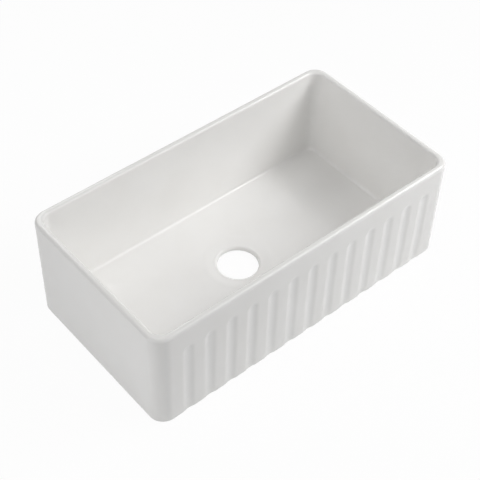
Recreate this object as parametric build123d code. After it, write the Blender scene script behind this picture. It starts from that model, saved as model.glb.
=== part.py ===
"""Farmhouse apron front sink: one glazed fireclay casting with a fluted apron and a bare outlet.

Millimetres. +Z is up, the fluted apron faces -Y, and +X runs along the sink. The origin is on the
surface that the sink stands on, under the centre of its outline.
"""

from build123d import *
import math
import os

# The casting's outline
LENGTH = 762.0  # side to side
DEPTH = 410.0  # apron face to back
HEIGHT = 250.0  # underside to rim
CORNER_RADIUS = 33.0  # the four outer vertical corners
FOOT_EDGE_RADIUS = 4.0  # where the outer walls turn under

# The rim, a rounded crown on top of the walls
RIM_WIDTH = 15.0  # wall thickness at the rim
RIM_OUTER_RADIUS = 8.0
RIM_INNER_RADIUS = 6.0

# The basin
WALL_DRAFT = 4.0  # how far each inner wall comes in from rim to floor
BASIN_CORNER_RADIUS = 21.0  # inner vertical corners at the floor; the draft opens them upward
FLOOR_COVE_RADIUS = 8.0  # cove between wall and floor
FLOOR_EDGE_HEIGHT = 28.0  # basin floor along the walls, above the underside
FLOOR_EDGE_WIDTH = 3.0  # level margin between the cove and the falling floor
FLOOR_FALL = 9.5  # drop of the floor from the walls to the outlet's dish
FLOOR_CORNER_FACETS = 6  # flat facets that turn the falling floor round each corner

# The outlet: a plain hole for a basket strainer, in a shallow dish for its flange
OUTLET_RADIUS = 45.0
OUTLET_SET_BACK = 18.5  # outlet's centre behind the middle of the sink
LIP_RADIUS = 6.0  # rounding of the hole's upper edge
HOLE_FOOT_CHAMFER = 0.5  # bevel of the hole's lower edge
SEAT_WIDTH = 2.0  # level ring round the hole, where the flange beds
DISH_SLOPE = 8.0  # degrees that the dish's side climbs
DISH_SIDE_WIDTH = 12.0  # the dish's straight side, outside the seat
DISH_ROUNDING_RADIUS = 80.0  # turns the side back to level
DISH_MARGIN = 1.0  # level ring between the dish and the falling floor

# The underside: a shallow pocket inside the ring that the sink stands on
FOOT_WIDTH = 28.0
POCKET_DEPTH = 5.0
POCKET_CORNER_RADIUS = 18.0
POCKET_DRAFT_ANGLE = 40.0  # degrees that the pocket's side leans in

# The apron's flutes: scooped at the top, and running out through the bottom edge
FLUTE_PITCH = 51.6
FLUTE_WIDTH = 25.4
FLUTE_DEPTH = 2.0
FLUTE_TOP_GAP = 52.5  # plain band between the rim and the flutes' tops
FLUTE_END_MARGIN = 70.0  # least distance from a side to the nearest flute's centre line
FLUTE_EDGE_RADIUS = 50.0  # softening of the edge between flute and apron

OVERRUN = 5.0  # how far a cutting tool runs past the face that it opens
NEAR = 0.01  # closeness that counts as lying on a plane


def rounded_plan(length, depth, radius, height):
    """A rounded rectangle, level, centred on the sink."""
    return Plane.XY.offset(height) * RectangleRounded(length, depth, radius)


def outer_block():
    return extrude(rounded_plan(LENGTH, DEPTH, CORNER_RADIUS, 0), HEIGHT)


def basin_hollow():
    """The space between the walls, down to a level floor, with the cove round its foot."""
    inset = 2 * (RIM_WIDTH + WALL_DRAFT)
    floor = rounded_plan(LENGTH - inset, DEPTH - inset, BASIN_CORNER_RADIUS, FLOOR_EDGE_HEIGHT)
    rise = HEIGHT - FLOOR_EDGE_HEIGHT
    hollow = extrude(floor, rise, taper=-math.degrees(math.atan2(WALL_DRAFT, rise)))
    return fillet(hollow.edges().group_by(Axis.Z)[0], FLOOR_COVE_RADIUS)


def seat_edge():
    """Radius at which the flat seat ends and the dish's side begins."""
    return OUTLET_RADIUS + LIP_RADIUS + SEAT_WIDTH


def dish_edge():
    """Radius at which the dish's side has turned back to level."""
    return seat_edge() + DISH_SIDE_WIDTH + DISH_ROUNDING_RADIUS * math.sin(math.radians(DISH_SLOPE))


def facet_ring(half_length, half_depth, radius, y, height):
    """Points of a level rectangle whose corners are turned in equal steps, anticlockwise."""
    points = []
    for corner, (side, end) in enumerate([(1, 1), (-1, 1), (-1, -1), (1, -1)]):
        middle = Vector(side * (half_length - radius), y + end * (half_depth - radius), height)
        for step in range(FLOOR_CORNER_FACETS + 1):
            angle = math.radians(90 * (corner + step / FLOOR_CORNER_FACETS))
            points.append(middle + Vector(radius * math.cos(angle), radius * math.sin(angle), 0))
    return points


def floor_fall():
    """The space that turns the level floor into flat facets, all falling to the outlet's dish."""
    inset = RIM_WIDTH + WALL_DRAFT + FLOOR_COVE_RADIUS + FLOOR_EDGE_WIDTH
    corner = BASIN_CORNER_RADIUS - FLOOR_COVE_RADIUS - FLOOR_EDGE_WIDTH
    high = facet_ring(LENGTH / 2 - inset, DEPTH / 2 - inset, corner, 0, FLOOR_EDGE_HEIGHT)
    arc = dish_edge() + DISH_MARGIN
    half = arc + DISH_MARGIN
    low = facet_ring(half, half, arc, OUTLET_SET_BACK, FLOOR_EDGE_HEIGHT - FLOOR_FALL)
    sides = [(low[i - 1], low[i], high[i], high[i - 1]) for i in range(len(high))]
    faces = [make_face(Polyline(*side, close=True)) for side in (low, high, *sides)]
    return Solid(Shell([sketch.face() for sketch in faces]))


def outlet_tool():
    """Dish, seat and hole, turned from one half profile about the outlet's axis."""
    slope = math.radians(DISH_SLOPE)
    floor = FLOOR_EDGE_HEIGHT - FLOOR_FALL
    side_top = floor - DISH_ROUNDING_RADIUS * (1 - math.cos(slope))
    seat = side_top - DISH_SIDE_WIDTH * math.tan(slope)
    under = POCKET_DEPTH
    flare = OUTLET_RADIUS + HOLE_FOOT_CHAMFER
    below = Polyline((0, -OVERRUN), (flare, -OVERRUN), (flare, under))
    bevel = Line(below @ 1, (OUTLET_RADIUS, under + HOLE_FOOT_CHAMFER))
    wall = Line(bevel @ 1, (OUTLET_RADIUS, seat - LIP_RADIUS))
    lip = TangentArc(wall @ 1, (OUTLET_RADIUS + LIP_RADIUS, seat), tangent=(0, 1))
    ring = Line(lip @ 1, (seat_edge(), seat))
    side = Line(ring @ 1, (seat_edge() + DISH_SIDE_WIDTH, side_top))
    crest = TangentArc(side @ 1, (dish_edge(), floor), tangent=side % 1)
    above = Polyline(crest @ 1, (dish_edge(), floor + OVERRUN), (0, floor + OVERRUN), (0, -OVERRUN))
    section = make_face([below, bevel, wall, lip, ring, side, crest, above])
    standing = Plane(origin=(0, OUTLET_SET_BACK, 0), x_dir=(1, 0, 0), z_dir=(0, -1, 0))
    return revolve(standing * section, Axis((0, OUTLET_SET_BACK, 0), (0, 0, 1)))


def foot_pocket():
    """The shallow pocket that leaves a ring for the sink to stand on."""
    inset = 2 * FOOT_WIDTH
    mouth = rounded_plan(LENGTH - inset, DEPTH - inset, POCKET_CORNER_RADIUS, 0)
    return extrude(mouth, POCKET_DEPTH, taper=POCKET_DRAFT_ANGLE)


def flute_centres():
    """Centre lines of as many flutes as the apron holds, spread evenly about its middle."""
    count = 1 + math.floor((LENGTH - 2 * FLUTE_END_MARGIN) / FLUTE_PITCH)
    return [(i - (count - 1) / 2) * FLUTE_PITCH for i in range(count)]


def flute_tool(x):
    """The path of a ball-ended cutter up the apron: a round trough with a scooped top."""
    radius = (FLUTE_WIDTH**2 / 4 + FLUTE_DEPTH**2) / (2 * FLUTE_DEPTH)
    y = FLUTE_DEPTH - radius - DEPTH / 2
    top = HEIGHT - FLUTE_TOP_GAP - FLUTE_WIDTH / 2
    base = (Align.CENTER, Align.CENTER, Align.MIN)
    trough = Pos(x, y, -OVERRUN) * Cylinder(radius, top + OVERRUN, align=base)
    scoop = Pos(x, y, top) * Sphere(radius)
    skin = Pos(x, -DEPTH / 2, HEIGHT / 2) * Box(FLUTE_PITCH, 2 * FLUTE_DEPTH, 2 * HEIGHT)
    return (trough + scoop) & skin


def is_flute_edge(edge):
    """An edge between a flute and the apron's flat face."""
    box = edge.bounding_box()
    on_apron = abs(box.min.Y + DEPTH / 2) < NEAR and abs(box.max.Y + DEPTH / 2) < NEAR
    inside = abs(edge.center().X) < LENGTH / 2 - CORNER_RADIUS - NEAR
    return on_apron and inside and box.size.Z > NEAR and box.max.Z < HEIGHT - RIM_OUTER_RADIUS - NEAR


def fluted_block():
    """The outer form: flutes cut and softened, then the edge where the walls turn under."""
    block = outer_block()
    for x in flute_centres():
        block -= flute_tool(x)
    block = fillet(block.edges().filter_by(is_flute_edge), FLUTE_EDGE_RADIUS)
    return fillet(block.edges().group_by(Axis.Z)[0], FOOT_EDGE_RADIUS)


def rounded_rim(sink):
    """The crown: the outer edge of the rim, then the edge into the basin."""
    square_top = sink.faces().sort_by(Axis.Z)[-1]
    sink = fillet(square_top.outer_wire().edges(), RIM_OUTER_RADIUS)
    top = sink.faces().sort_by(Axis.Z)[-1]
    return fillet(top.inner_wires()[0].edges(), RIM_INNER_RADIUS)


def sink_body():
    sink = fluted_block() - basin_hollow()
    sink = rounded_rim(sink)
    sink -= floor_fall()
    sink -= foot_pocket()
    return sink - outlet_tool()


os.makedirs("parts", exist_ok=True)
body = sink_body()
body.label = "sink_body"
export_step(body, "parts/sink_body.step")
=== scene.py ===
# %% [markdown]
# # A farmhouse sink with a fluted apron
#
# The real object is one piece of fireclay. Slip is cast in a plaster mould, the raw casting is
# dried and smoothed, white glaze is sprayed over everything but the underside, and one firing makes
# it hard. So this lesson models one skin that runs round the whole casting, glazes it, and lights
# it softly.
#
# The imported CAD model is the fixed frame. It is loaded first, and its box is kept, because the
# finished sink has to stay inside it.

# %% Load the frame
import bmesh
import bpy
import math
from mathutils import Matrix, Vector


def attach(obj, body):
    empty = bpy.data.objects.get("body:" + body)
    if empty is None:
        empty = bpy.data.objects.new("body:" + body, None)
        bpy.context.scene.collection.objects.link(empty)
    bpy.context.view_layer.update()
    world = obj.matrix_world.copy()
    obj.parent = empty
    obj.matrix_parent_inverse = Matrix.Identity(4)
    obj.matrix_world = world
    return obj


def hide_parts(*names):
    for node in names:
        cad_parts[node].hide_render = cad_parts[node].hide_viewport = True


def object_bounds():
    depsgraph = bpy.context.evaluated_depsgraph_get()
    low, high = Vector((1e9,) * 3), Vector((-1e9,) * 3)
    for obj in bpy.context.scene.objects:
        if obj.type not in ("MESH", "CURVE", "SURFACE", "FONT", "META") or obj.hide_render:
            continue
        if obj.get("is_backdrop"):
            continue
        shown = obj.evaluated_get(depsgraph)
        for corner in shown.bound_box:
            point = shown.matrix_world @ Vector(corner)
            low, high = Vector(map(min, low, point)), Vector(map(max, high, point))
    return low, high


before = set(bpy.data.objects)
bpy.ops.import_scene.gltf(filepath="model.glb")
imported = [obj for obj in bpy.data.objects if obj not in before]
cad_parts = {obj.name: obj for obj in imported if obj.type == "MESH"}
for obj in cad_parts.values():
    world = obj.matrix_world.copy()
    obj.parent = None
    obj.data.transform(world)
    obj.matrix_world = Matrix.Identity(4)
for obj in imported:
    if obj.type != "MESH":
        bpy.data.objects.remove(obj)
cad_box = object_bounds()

print("CAD box, lowest corner", list(cad_box[0]), "highest corner", list(cad_box[1]))

# %% [markdown]
# ## Camera
#
# The sink is seen from its front left corner, well above the rim, so that both the fluted apron and
# the whole floor show. A long lens keeps the far side nearly as large as the near side. The camera
# could be placed by hand, but three angles, a distance and the point that it looks at say the same
# in numbers that can be checked: turn to the left, climb, and tip the camera a little.

# %% Camera
CAMERA_TURN = math.radians(-41.461)  # to the left of straight in front
CAMERA_CLIMB = math.radians(46.65)  # above the horizon
CAMERA_TIP = math.radians(1.842)  # anticlockwise, seen from behind the camera
CAMERA_REACH = 2.3712  # from the point looked at, in metres
CAMERA_AIM = Vector((-0.0233, -0.0124, 0.127))
LENS = 86.55  # millimetres, on a sensor 36 mm wide

to_camera = Vector((math.sin(CAMERA_TURN), -math.cos(CAMERA_TURN), 0)) * math.cos(CAMERA_CLIMB)
to_camera.z = math.sin(CAMERA_CLIMB)
level = Vector((0, 0, 1)).cross(to_camera).normalized()
turned = Matrix((level, to_camera.cross(level), to_camera)).transposed().to_4x4()
camera = bpy.data.objects.new("camera", bpy.data.cameras.new("camera"))
camera.data.sensor_width = 36
camera.data.lens = LENS
place = Matrix.Translation(CAMERA_AIM + to_camera * CAMERA_REACH)
camera.matrix_world = place @ turned @ Matrix.Rotation(CAMERA_TIP, 4, "Z")
bpy.context.scene.collection.objects.link(camera)
bpy.context.scene.camera = camera
print("camera at", [round(v, 3) for v in camera.matrix_world.translation])

# %% [markdown]
# ## A short way to write materials
#
# A material in Blender is a graph of nodes. Written out link by link it hides what it does, so this
# small class lets shader maths read as plain Python: a `Reading` is one output of a node, and
# `1 - mask` adds the Math node that works it out. Every other node comes from one method, which
# takes the kind of node, its settings, and what goes into its sockets.

# %% The material helper
class Reading:
    """One output of a node. Arithmetic on readings adds Math nodes."""

    def __init__(self, recipe, socket):
        self.recipe, self.socket = recipe, socket

    def maths(self, operation, *values, clamp=False):
        settings = {"operation": operation, "use_clamp": clamp}
        return self.recipe.node("Math", settings, dict(enumerate(values)))

    def __add__(self, other):
        return self.maths("ADD", self, other)

    def __sub__(self, other):
        return self.maths("SUBTRACT", self, other)

    def __rsub__(self, other):
        return self.maths("SUBTRACT", other, self)

    def __mul__(self, other):
        return self.maths("MULTIPLY", self, other)

    def __truediv__(self, other):
        return self.maths("DIVIDE", self, other)

    __radd__, __rmul__ = __add__, __mul__

    def clamped(self):
        return self.maths("ADD", self, 0.0, clamp=True)

    def below(self, limit, soft):
        """1 where the reading is under limit, 0 where it is over, with a soft step between."""
        return ((limit - self) / soft + 0.5).clamped()

    def blend(self, without, full):
        """The colour without where the reading is 0, and the colour full where it is 1."""
        sockets = {"Factor": self, 6: without, 7: full}
        return self.recipe.node("Mix", {"data_type": "RGBA"}, sockets, output=2)


class Recipe:
    """A material, or the world, being mixed from nodes."""

    def __init__(self, holder):
        holder.use_nodes = True
        self.holder, self.tree = holder, holder.node_tree
        self.tree.nodes.clear()

    def node(self, kind, settings=None, sockets=None, output=0):
        made = self.tree.nodes.new("ShaderNode" + kind)
        for name, value in (settings or {}).items():
            setattr(made, name, value)
        for name, value in (sockets or {}).items():
            if isinstance(value, Reading):
                self.tree.links.new(value.socket, made.inputs[name])
            else:
                made.inputs[name].default_value = value
        return Reading(self, made.outputs[output]) if made.outputs else None


print("helper ready: a Recipe adds nodes, a Reading does sums with them")

# %% [markdown]
# ## The casting: how its skin is made
#
# A cast sink has the same clay everywhere: the apron, the walls, the rim, the floor and the foot
# ring run into each other without a seam. It could be carved out of a block with booleans, but
# those leave long thin faces that catch the light badly on a glossy glaze. Here one ring of edges
# is drawn round the sink and pulled along its section, as a mould maker would sweep a template:
# under the foot, up the outside, over the rim, down into the basin, over the floor, down through
# the outlet, and back under the floor to where it started. Every ring has the same points in the
# same order, so the skin is even everywhere, and small extra rings beside each rounding keep the
# flat faces truly flat.
#
# First the sizes, in millimetres, as measured for the CAD model. `BESIDE` and `CLOSE_BY` aren't
# sizes of the sink: they are how far from a crease the small extra rings lie.

# %% Sizes of the casting
MM = 0.001
HALF_LENGTH, HALF_DEPTH, HEIGHT = 381.0, 205.0, 250.0
CORNER = 33.0  # outer vertical corners
FOOT_EDGE = 4.0  # rounding where the walls turn under
RIM_WIDTH, RIM_OUTSIDE, RIM_INSIDE = 15.0, 8.0, 6.0
WALL_DRAFT = 4.0  # how far the inner walls come in on the way down
BASIN_CORNER = 21.0  # inner vertical corners, at the floor
COVE = 8.0  # rounding between wall and floor
FLOOR_EDGE, FLOOR_FALL, FLOOR_MARGIN = 28.0, 9.5, 3.0
OUTLET, OUTLET_BACK = 45.0, 18.5
LIP, SEAT_WIDTH = 6.0, 2.0
DISH_SLOPE, DISH_SIDE, DISH_ROUNDING, DISH_MARGIN = math.radians(8), 12.0, 80.0, 1.0
HOLE_BEVEL = 0.5
POCKET_DEPTH, POCKET_CORNER, FOOT_WIDTH = 5.0, 18.0, 28.0
POCKET_LEAN = math.radians(40)
BESIDE, CLOSE_BY = 0.6, 0.5
print("casting", 2 * HALF_LENGTH, "x", 2 * HALF_DEPTH, "x", HEIGHT, "mm")

# %% [markdown]
# ## The first ring
#
# A plane with its four corners bevelled is the outline of the sink in plan. Its face is thrown away
# and its edges are kept. The straight sides are cut into short edges: many along the front, where
# the flutes will need them, and fewer at the back.
#
# To move a whole ring from one outline to another, each point has to know its place. A rounded
# rectangle is a smaller, sharp rectangle with a radius added all round, so two notes on each point
# are enough: where it is on that core rectangle, from -1 to 1 each way, and which way the wall
# faces there. Custom layers hold the notes, and the extrude operator copies them to each new ring.

# %% Draw the first ring
CORNER_STEPS = 16
FRONT_STEPS, BACK_STEPS, SIDE_STEPS = 270, 60, 24
skin = bmesh.new()
core = skin.verts.layers.float_vector.new("core")
facing = skin.verts.layers.float_vector.new("facing")
bmesh.ops.create_grid(skin, x_segments=1, y_segments=1, size=1)
bmesh.ops.scale(skin, vec=(HALF_LENGTH, HALF_DEPTH, 1), verts=skin.verts)
bmesh.ops.bevel(skin, geom=skin.verts[:], offset=CORNER, offset_type="OFFSET", affect="VERTICES",
                segments=CORNER_STEPS, profile=0.5, material=-1)
bmesh.ops.delete(skin, geom=skin.faces[:], context="FACES_ONLY")


def side_edge(x, y):
    """The straight edge whose middle lies at x, y."""
    def away(edge):
        return ((edge.verts[0].co + edge.verts[1].co) / 2 - Vector((x, y, 0))).length
    return min(skin.edges, key=away)


for x, y, steps in ((0, -HALF_DEPTH, FRONT_STEPS), (0, HALF_DEPTH, BACK_STEPS),
                    (-HALF_LENGTH, 0, SIDE_STEPS), (HALF_LENGTH, 0, SIDE_STEPS)):
    bmesh.ops.subdivide_edges(skin, edges=[side_edge(x, y)], cuts=steps - 1)
print("first ring:", len(skin.verts), "points,", len(skin.edges), "edges")

# %% Note each point's place
across, along = HALF_LENGTH - CORNER, HALF_DEPTH - CORNER
for vert in skin.verts:
    inner = Vector((max(-across, min(across, vert.co.x)), max(-along, min(along, vert.co.y)), 0))
    vert[core] = (inner.x / across, inner.y / along, 0)
    vert[facing] = (vert.co - inner).normalized()
print("the core rectangle is", 2 * across, "x", 2 * along, "mm")

# %% [markdown]
# ## Pulling rings
#
# `pull` extrudes the last ring of edges and sets the new points with a function of the two notes.
# There are two such functions. `outline` puts the ring on a rounded rectangle, set in from the
# outside of the sink by so much. `towards_outlet` puts it part of the way from the edge of the
# basin floor to a circle round the outlet, which is how the floor turns from a rectangle into a
# round drain.

# %% Functions that place a ring
def outline(inset, corner, height):
    def place_point(vert):
        x = (HALF_LENGTH - inset - corner) * vert[core].x + corner * vert[facing].x
        y = (HALF_DEPTH - inset - corner) * vert[core].y + corner * vert[facing].y
        return Vector((x, y, height))
    return place_point


FLOOR_INSET = RIM_WIDTH + WALL_DRAFT + COVE + FLOOR_MARGIN
floor_outline = outline(FLOOR_INSET, BASIN_CORNER - COVE - FLOOR_MARGIN, FLOOR_EDGE)
outlet_centre = Vector((0, OUTLET_BACK, 0))


def towards_outlet(share, radius, height, start=floor_outline):
    def place_point(vert):
        edge = start(vert)
        edge.z = 0
        ray = (edge - outlet_centre).normalized()
        point = edge.lerp(outlet_centre + ray * radius, share)
        point.z = height
        return point
    return place_point


ring = skin.edges[:]
rings_pulled = 0


def pull(place_point):
    """Extrudes the last ring and places the new one."""
    global ring, rings_pulled
    fresh = bmesh.ops.extrude_edge_only(skin, edges=ring)["geom"]
    points = {g for g in fresh if isinstance(g, bmesh.types.BMVert)}
    ring = [g for g in fresh if isinstance(g, bmesh.types.BMEdge) and set(g.verts) <= points]
    for vert in points:
        vert.co = place_point(vert)
    rings_pulled += 1


print("the floor's outline lies", FLOOR_INSET, "mm inside the sink's")

# %% [markdown]
# ## The outside
#
# The sink stands on a ring of bare clay. From there the template goes out to the edge of the foot,
# round it, straight up the outer wall, and over the rim. Real rims are rounded by hand with a wet
# sponge while the clay is leather hard, more on the outside than on the inside.

# %% Foot, outer walls and rim
def quarter(steps):
    """Angles from nothing to a quarter turn, without the first."""
    return [math.pi / 2 * (step + 1) / steps for step in range(steps)]


FOOT_STEPS, RIM_STEPS = 6, 10
foot_corner = CORNER - FOOT_EDGE
for vert in skin.verts:
    vert.co = outline(FOOT_WIDTH, POCKET_CORNER, 0)(vert)
pull(outline(FOOT_WIDTH - BESIDE, POCKET_CORNER + CLOSE_BY, 0))
pull(outline(FOOT_EDGE + BESIDE, foot_corner - BESIDE, 0))
pull(outline(FOOT_EDGE, foot_corner, 0))
for turn in quarter(FOOT_STEPS):
    inset = FOOT_EDGE * (1 - math.sin(turn))
    pull(outline(inset, CORNER - inset, FOOT_EDGE * (1 - math.cos(turn))))
WALL_HEIGHTS = [5, 12, 24, 40, 60, 80, 100, 120, 140, 155, 164]
SCOOP_HEIGHTS = [168 + 2.25 * step for step in range(18)]  # close together, for the flutes' tops
BAND_HEIGHTS = [212, 225, 236, 241, HEIGHT - RIM_OUTSIDE]
for height in WALL_HEIGHTS + SCOOP_HEIGHTS + BAND_HEIGHTS:
    pull(outline(0, CORNER, height))
for turn in quarter(RIM_STEPS):
    inset = RIM_OUTSIDE * (1 - math.cos(turn))
    pull(outline(inset, CORNER - inset, HEIGHT - RIM_OUTSIDE * (1 - math.sin(turn))))
print("rings to the top of the rim:", rings_pulled)

# %% [markdown]
# ## The basin
#
# The inner walls lean in a little on the way down, so that the casting comes off its mould. At the
# rim the basin's corners are wider than the outside ones would leave, which is why the rim looks
# broader there. A cove joins the walls to the floor: a sharp corner would crack in the firing and
# be hard to wipe.

# %% Inside of the rim, walls and cove
def basin(inset, height):
    """An outline of the basin: its corner tightens by as much as the outline comes in."""
    return outline(inset, RIM_WIDTH + WALL_DRAFT + BASIN_CORNER - inset, height)


drop = HEIGHT - FLOOR_EDGE
lean = math.atan2(WALL_DRAFT, drop)
INNER_RIM_STEPS, COVE_STEPS = 8, 8
INNER_WALL_HEIGHTS = [243, 235, 215, 190, 160, 130, 100, 75, 55, 42, 38]
pull(basin(RIM_WIDTH - RIM_INSIDE, HEIGHT))
for turn in quarter(INNER_RIM_STEPS):
    inset = RIM_WIDTH - RIM_INSIDE * (1 - math.sin(turn))
    pull(basin(inset, HEIGHT - RIM_INSIDE * (1 - math.cos(turn))))
for height in INNER_WALL_HEIGHTS:
    pull(basin(RIM_WIDTH + (HEIGHT - height) * math.tan(lean), height))
cove_centre = RIM_WIDTH + (drop - COVE) * math.tan(lean) + COVE / math.cos(lean)
for step in range(COVE_STEPS + 1):
    turn = lean + (math.pi / 2 - lean) * step / COVE_STEPS
    pull(basin(cove_centre - COVE * math.cos(turn), FLOOR_EDGE + COVE * (1 - math.sin(turn))))
print("rings to the edge of the floor:", rings_pulled)

# %% [markdown]
# ## The floor and the outlet
#
# The floor falls nearly a centimetre from the walls to the drain, gently rounded at the start so
# that the glaze shows no crease. Round the outlet it dips a little more, in a shallow cone that
# ends in a narrow level ring, and the flange of a basket strainer beds in putty there. The hole's
# upper edge is rounded, and the lower one has a small bevel. Below, the skin runs back under the
# floor to the pocket that keeps the sink standing on its outer ring alone.

# %% Floor, dish and seat
floor_low = FLOOR_EDGE - FLOOR_FALL
side_top = floor_low - DISH_ROUNDING * (1 - math.cos(DISH_SLOPE))
seat_height = side_top - DISH_SIDE * math.tan(DISH_SLOPE)
seat_edge = OUTLET + LIP + SEAT_WIDTH
dish_edge = seat_edge + DISH_SIDE + DISH_ROUNDING * math.sin(DISH_SLOPE)
FLOOR_SHARES = [0, 0.02, 0.05, 0.1, 0.18, 0.28, 0.4, 0.52, 0.64, 0.76, 0.86, 0.93, 0.97, 1]
EASING = 0.02  # share of the way over which the fall sets in
pull(basin(FLOOR_INSET - FLOOR_MARGIN / 2, FLOOR_EDGE))
for share in FLOOR_SHARES:
    settled = share - EASING * (1 - math.exp(-share / EASING)) * (1 - share)
    pull(towards_outlet(share, dish_edge + DISH_MARGIN, FLOOR_EDGE - FLOOR_FALL * settled))
DISH_STEPS = 5
for step in range(DISH_STEPS + 1):
    turn = DISH_SLOPE * step / DISH_STEPS
    radius = dish_edge - DISH_ROUNDING * math.sin(turn)
    pull(towards_outlet(1, radius, floor_low - DISH_ROUNDING * (1 - math.cos(turn))))
for above_seat in (2 * DISH_SIDE / 3, DISH_SIDE / 3, CLOSE_BY):
    radius = seat_edge + above_seat
    pull(towards_outlet(1, radius, seat_height + above_seat * math.tan(DISH_SLOPE)))
for radius in (seat_edge - BESIDE / 2, OUTLET + LIP + BESIDE / 2, OUTLET + LIP):
    pull(towards_outlet(1, radius, seat_height))
print("dish", round(2 * dish_edge, 1), "mm across, seat", round(seat_height, 2), "mm up")

# %% Lip and wall of the hole
LIP_STEPS = 10
for turn in quarter(LIP_STEPS):
    radius = OUTLET + LIP * (1 - math.sin(turn))
    pull(towards_outlet(1, radius, seat_height - LIP * (1 - math.cos(turn))))
hole_foot = POCKET_DEPTH + HOLE_BEVEL
for height in (seat_height - LIP - CLOSE_BY, hole_foot + BESIDE / 2, hole_foot):
    pull(towards_outlet(1, OUTLET, height))
bevel_edge = OUTLET + HOLE_BEVEL
beside_bevel = bevel_edge + 0.4
for radius in (bevel_edge, beside_bevel):
    pull(towards_outlet(1, radius, POCKET_DEPTH))
print("hole", 2 * OUTLET, "mm across, its straight wall ends", hole_foot, "mm up")

# %% The underside, back to the first ring
pocket_inset = FOOT_WIDTH + POCKET_DEPTH * math.tan(POCKET_LEAN)
pocket_corner = POCKET_CORNER - POCKET_DEPTH * math.tan(POCKET_LEAN)
POCKET_SHARES = [0.8, 0.55, 0.3, 0.1]  # on the way out from the hole to the pocket's side
for share in POCKET_SHARES:
    pull(towards_outlet(share, beside_bevel, POCKET_DEPTH))
pull(outline(pocket_inset + BESIDE, pocket_corner - BESIDE, POCKET_DEPTH))
pull(outline(pocket_inset, pocket_corner, POCKET_DEPTH))
pull(outline(FOOT_WIDTH + CLOSE_BY, POCKET_CORNER - CLOSE_BY, BESIDE))
pull(outline(FOOT_WIDTH, POCKET_CORNER, 0))
SAME_POINT = 0.01
bmesh.ops.remove_doubles(skin, verts=skin.verts, dist=SAME_POINT)
bmesh.ops.recalc_face_normals(skin, faces=skin.faces)
open_edges = sum(not edge.is_manifold for edge in skin.edges)
print("rings:", rings_pulled, " points:", len(skin.verts), " open edges:", open_edges)

# %% [markdown]
# ## The flutes
#
# The apron has thirteen shallow flutes. In the mould they are ribs with rounded edges, so on the
# sink they are troughs that run softly into the flat lands between them, end in a round scoop under
# the rim, and leave by the bottom edge. They could be cut with a boolean, but the eye is quick to
# see a hard edge in white glaze. Since the front of every ring is finely divided, its points are
# pushed in instead, by the depth that a round cutter with rounded edges would leave at that place.
# The edges are rounded a little less than in the CAD model, so that the light turns on them as it
# does on the sink.

# %% Push in the flutes
FLUTE_COUNT, FLUTE_PITCH, FLUTE_WIDTH, FLUTE_DEPTH = 13, 51.6, 25.4, 2.0
FLUTE_SOFTNESS = 25.0  # radius of the rounding between flute and land
PLAIN_BAND = 52.5  # from the rim down to the flutes' tops
SCOOP_CENTRE = HEIGHT - PLAIN_BAND - FLUTE_WIDTH / 2
cutter = (FLUTE_WIDTH**2 / 4 + FLUTE_DEPTH**2) / (2 * FLUTE_DEPTH)
both_radii = cutter + FLUTE_SOFTNESS
flute_reach = math.sqrt(both_radii**2 - (both_radii - FLUTE_DEPTH) ** 2)
flute_turn = flute_reach * cutter / both_radii


def flute_depth(away):
    """How deep the flute is, this far from its centre line."""
    if away < flute_turn:
        return FLUTE_DEPTH - cutter + math.sqrt(cutter**2 - away**2)
    if away < flute_reach:
        return FLUTE_SOFTNESS - math.sqrt(FLUTE_SOFTNESS**2 - (flute_reach - away) ** 2)
    return 0.0


BEHIND_FACE = FOOT_EDGE + 1  # takes in the rounding at the foot, and the ring just behind it
CORE_END = 0.999  # past this, a point belongs to a corner
pushed = 0
for vert in skin.verts:
    if vert.co.y < BEHIND_FACE - HALF_DEPTH and abs(vert[core].x) < CORE_END:
        nearest = round(vert.co.x / FLUTE_PITCH)
        if abs(nearest) <= FLUTE_COUNT // 2:
            away = math.hypot(vert.co.x - nearest * FLUTE_PITCH, max(0.0, vert.co.z - SCOOP_CENTRE))
            vert.co.y += flute_depth(away)
            pushed += flute_depth(away) > 0
print("points pushed in for the flutes:", pushed)
print("a flute ends", round(flute_reach, 1), "mm from its centre line")

# %% Finish the casting
for note in ("core", "facing"):
    skin.verts.layers.float_vector.remove(skin.verts.layers.float_vector[note])
bmesh.ops.scale(skin, vec=(MM, MM, MM), verts=skin.verts)
for face in skin.faces:
    face.smooth = True
casting_mesh = bpy.data.meshes.new("sink_casting")
skin.to_mesh(casting_mesh)
skin.free()
casting = bpy.data.objects.new("sink_casting", casting_mesh)
bpy.context.scene.collection.objects.link(casting)
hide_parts("sink_body")
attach(casting, "root")
print("casting:", len(casting_mesh.polygons), "faces")

# %% [markdown]
# ## The glaze
#
# The glaze is an opaque white glass about half a millimetre thick, a little warm because the clay
# below is buff. Sprayed on by hand, it is never quite even: the surface swells and sinks by a few
# hundredths of a millimetre over a hand's breadth, and it has a fine orange peel that only shows
# where a lamp is mirrored. It is cooler where it ran into the flutes and warmer where it is thin
# on the rim, and painted shade darkens both places: the flutes' hollows and the rim's top. It could
# be painted on as images, but all of this follows from where a point is, so noise and heights in
# the object's own coordinates say it at any size.
#
# The foot is wiped clean before firing, or it would fuse to the kiln shelf. There the bare clay
# shows: matt, buff and grainy, with a dark speck here and there, and a line where the glaze ends
# that is a little crooked because a sponge drew it.

# %% Where each finish is
glaze = Recipe(bpy.data.materials.new("glazed_fireclay"))
position = glaze.node("TexCoord", output="Object")
back, up = (glaze.node("SeparateXYZ", None, {0: position}, output=axis) for axis in (1, 2))
facing_up = glaze.node("SeparateXYZ", None, {0: glaze.node("TexCoord", output="Normal")}, output=2)


def clouds(size, detail=2.0, roughness=0.5):
    """Noise from 0 to 1 whose lumps are about size metres across."""
    sockets = {"Vector": position, "Scale": 1 / size, "Detail": detail, "Roughness": roughness}
    return glaze.node("TexNoise", None, sockets)


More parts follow.
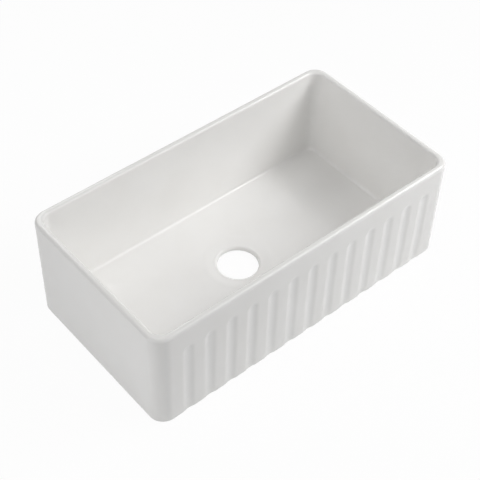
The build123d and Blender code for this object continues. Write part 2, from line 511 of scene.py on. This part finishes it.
SPONGE_LINE, LINE_WOBBLE, SPONGE_STROKE = 2.2 * MM, 1.6 * MM, 50 * MM
wiped_height = up + (clouds(SPONGE_STROKE) - 0.5) * LINE_WOBBLE
wiped = wiped_height.below(SPONGE_LINE, soft=0.3 * MM)
FACING_DOWN = -0.8
under = facing_up.below(FACING_DOWN, soft=0.2)
bare = wiped.maths("MAXIMUM", wiped, under)
APRON_FACE = -HALF_DEPTH * MM
on_apron = back.below(APRON_FACE + 3 * MM, soft=1 * MM)
# painted shade: the deeper a point lies in a flute, the darker its glaze, together with the cooler
# tint of pooled glaze
pooled_glaze_and_shade = ((back - APRON_FACE) / (FLUTE_DEPTH * MM)).clamped() * on_apron
CROWN_DEPTH = 2 * MM  # how far down the rim the thin glaze and its painted shade reach
# painted shade: the rim's top is darkened, together with the warmer tint of thin glaze there
thin_glaze_and_shade = 1 - up.below(HEIGHT * MM - CROWN_DEPTH, soft=4 * MM)
print("glaze ends about", SPONGE_LINE / MM, "mm above the foot")

# %% Colour of the glaze and the clay
WHITE_GLAZE = (0.916, 0.91, 0.897, 1)
UNEVEN_GLAZE = (0.9, 0.892, 0.876, 1)
# painted shade for the flutes' hollows, with the cooler tint of pooled glaze
POOLED_GLAZE_AND_SHADE = (0.898, 0.898, 0.89, 1)
# painted shade for the rim's top, with the warmer tint of thin glaze
THIN_GLAZE_AND_SHADE = (0.815, 0.808, 0.79, 1)
BUFF_CLAY = (0.62, 0.55, 0.46, 1)
SANDY_CLAY = (0.54, 0.46, 0.37, 1)
IRON_SPECK = (0.2, 0.14, 0.1, 1)
POOLED_AND_SHADE_SHARE, THIN_AND_SHADE_SHARE = 0.6, 0.9  # how fully those tints, with their painted shade, show
SPRAY_PATCH, GRAIN_SIZE, SPECK_SIZE = 110 * MM, 1.6 * MM, 3 * MM
PATCH_START, PATCH_CONTRAST = 0.4, 3
SPECK_START, SPECK_CONTRAST = 0.72, 12  # only the noise's peaks
uneven = ((clouds(SPRAY_PATCH) - PATCH_START) * PATCH_CONTRAST).clamped()
white = uneven.blend(WHITE_GLAZE, UNEVEN_GLAZE)
# painted shade in the flutes' hollows, mixed into the glaze colour
white = (pooled_glaze_and_shade * POOLED_AND_SHADE_SHARE).blend(white, POOLED_GLAZE_AND_SHADE)
# painted shade on the rim's top, mixed into the glaze colour
white = (thin_glaze_and_shade * THIN_AND_SHADE_SHARE).blend(white, THIN_GLAZE_AND_SHADE)
grain = clouds(GRAIN_SIZE, detail=4.0, roughness=0.7)
specks = ((clouds(SPECK_SIZE, detail=1.0) - SPECK_START) * SPECK_CONTRAST).clamped()
clay = specks.blend(grain.blend(BUFF_CLAY, SANDY_CLAY), IRON_SPECK)
colour = bare.blend(white, clay)
print("nodes so far:", len(glaze.tree.nodes))

# %% Gloss and surface
GLOSS, GLOSS_SPREAD, GLOSS_PATCH, CLAY_ROUGHNESS = 0.13, 0.05, 70 * MM, 0.85
glossy = GLOSS + (clouds(GLOSS_PATCH) - 0.5) * GLOSS_SPREAD
roughness = glossy + bare * (CLAY_ROUGHNESS - GLOSS)
SWELL, PEEL, GRAIN = 0.12 * MM, 0.012 * MM, 0.12 * MM  # heights
SWELL_SIZE, PEEL_SIZE = 110 * MM, 5 * MM
glass_surface = clouds(SWELL_SIZE, detail=1.0) * SWELL + clouds(PEEL_SIZE, detail=1.0) * PEEL
relief = glass_surface * (1 - bare) + grain * bare * GRAIN
surface = glaze.node("Bump", None, {"Height": relief, "Strength": 1.0, "Distance": 1.0})
coat = {"Base Color": colour, "Roughness": roughness, "IOR": 1.5, "Normal": surface}
glaze.node("OutputMaterial", None, {"Surface": glaze.node("BsdfPrincipled", None, coat)})
casting_mesh.materials.append(glaze.holder)
print("glaze: roughness", GLOSS, " swell", SWELL / MM, "mm  orange peel", PEEL / MM, "mm")

# %% [markdown]
# ## The studio floor
#
# The sink stands on white paper that runs out of the picture on all sides. Lit paper never comes
# out as pure white unless the lamps are turned up, and that would burn out the glaze. So the paper
# is painted for the eye instead: seen by the camera, or in a reflection, it is almost fully a plain
# white that needs no lamp, and for the light that bounces onto the sink it is ordinary matt paper.
# The small part of matt paper that stays in view holds the sink's shadow.

# %% White paper
PAPER_HALF_SIZE = 6  # metres
PAPER_DROP = 0.5 * MM  # below the foot, so that the two never share a plane
PAPER_GREY, PAPER_ROUGHNESS = (0.9, 0.9, 0.9, 1), 0.9
WHITENESS = 0.95
WHITE = (1, 1, 1, 1)


def seen(recipe):
    """1 for a ray from the camera or a reflection, 0 for light on its way to the sink."""
    eye, mirror, glass = (recipe.node("LightPath", output="Is %s Ray" % kind)
                          for kind in ("Camera", "Glossy", "Transmission"))
    return (eye + mirror + glass).clamped()


ground = bmesh.new()
bmesh.ops.create_grid(ground, x_segments=1, y_segments=1, size=PAPER_HALF_SIZE)
bmesh.ops.translate(ground, vec=(0, 0, -PAPER_DROP), verts=ground.verts)
floor_mesh = bpy.data.meshes.new("studio_floor")
ground.to_mesh(floor_mesh)
ground.free()
studio_floor = bpy.data.objects.new("studio_floor", floor_mesh)
bpy.context.scene.collection.objects.link(studio_floor)
studio_floor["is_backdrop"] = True
paper = Recipe(bpy.data.materials.new("white_paper"))
sheet = {"Base Color": PAPER_GREY, "Roughness": PAPER_ROUGHNESS}
matt = paper.node("BsdfPrincipled", None, sheet)
bright = paper.node("Emission", None, {"Color": WHITE, "Strength": 1.0})
both = paper.node("MixShader", None, {0: seen(paper) * WHITENESS, 1: matt, 2: bright})
paper.node("OutputMaterial", None, {"Surface": both})
floor_mesh.materials.append(paper.holder)
print("paper:", 2 * PAPER_HALF_SIZE, "m square, white to the eye by", WHITENESS)

# %% [markdown]
# ## Light
#
# White on white needs soft light from more than one side, or the walls of the basin go grey. The
# key is a wide softbox in front and to the right, far off and well above the rim: it lights the
# apron and the floor alike. A second box further round to the right rakes along the apron, and it
# is what makes one side of each flute bright and the other dark. Three weak boxes, above on the
# left, low on the left and behind, keep the shadows open, and a dim even sky fills the rest. To the
# eye, and in reflections, that sky is as white as the paper, so the paper's edge doesn't show. An
# evenly lit dome would be simpler, but it leaves the flutes nearly invisible.

# %% The sky
SKY_STRENGTH = 0.05
studio = Recipe(bpy.data.worlds.new("studio"))
bpy.context.scene.world = studio.holder
dim, white_wall = (studio.node("Background", None, {"Color": WHITE, "Strength": strength})
                   for strength in (SKY_STRENGTH, 1.0))
sky = studio.node("MixShader", None, {0: seen(studio), 1: dim, 2: white_wall})
studio.node("OutputWorld", None, {"Surface": sky})
print("sky strength", SKY_STRENGTH)

# %% The lamps
LIT_POINT = Vector((0, 0, 0.12))


def softbox(name, turn, climb, reach, size, watts):
    """A square lamp that faces the sink. Its turn is to the right of straight in front."""
    turn, climb = math.radians(turn), math.radians(climb)
    way = Vector((math.sin(turn), -math.cos(turn), 0)) * math.cos(climb)
    way.z = math.sin(climb)
    lamp = bpy.data.lights.new(name, "AREA")
    lamp.shape = "SQUARE"
    lamp.size = size
    lamp.energy = watts
    stand = bpy.data.objects.new(name, lamp)
    stand.location = LIT_POINT + way * reach
    stand.rotation_euler = way.to_track_quat("Z", "Y").to_euler()
    bpy.context.scene.collection.objects.link(stand)
    print(name, "lamp:", watts, "W, at", [round(v, 2) for v in stand.location])


softbox("key", turn=35, climb=42, reach=3.2, size=1.2, watts=24)
softbox("side", turn=62, climb=38, reach=1.9, size=0.8, watts=15.5)
softbox("top", turn=-90, climb=68.7, reach=1.37, size=1.2, watts=4.2)
softbox("left", turn=-80, climb=20, reach=1.6, size=0.9, watts=4.9)
softbox("rear", turn=180, climb=40, reach=1.6, size=0.9, watts=6)
bpy.context.scene.view_settings.view_transform = "Standard"

# %% [markdown]
# ## The finished box
#
# The finished sink's box is printed beside the CAD model's: the skin was built from the same sizes.

# %% Finish
new_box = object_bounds()
for name, box in (("CAD box", cad_box), ("visual box", new_box)):
    print(name, [[round(v, 5) for v in corner] for corner in box])
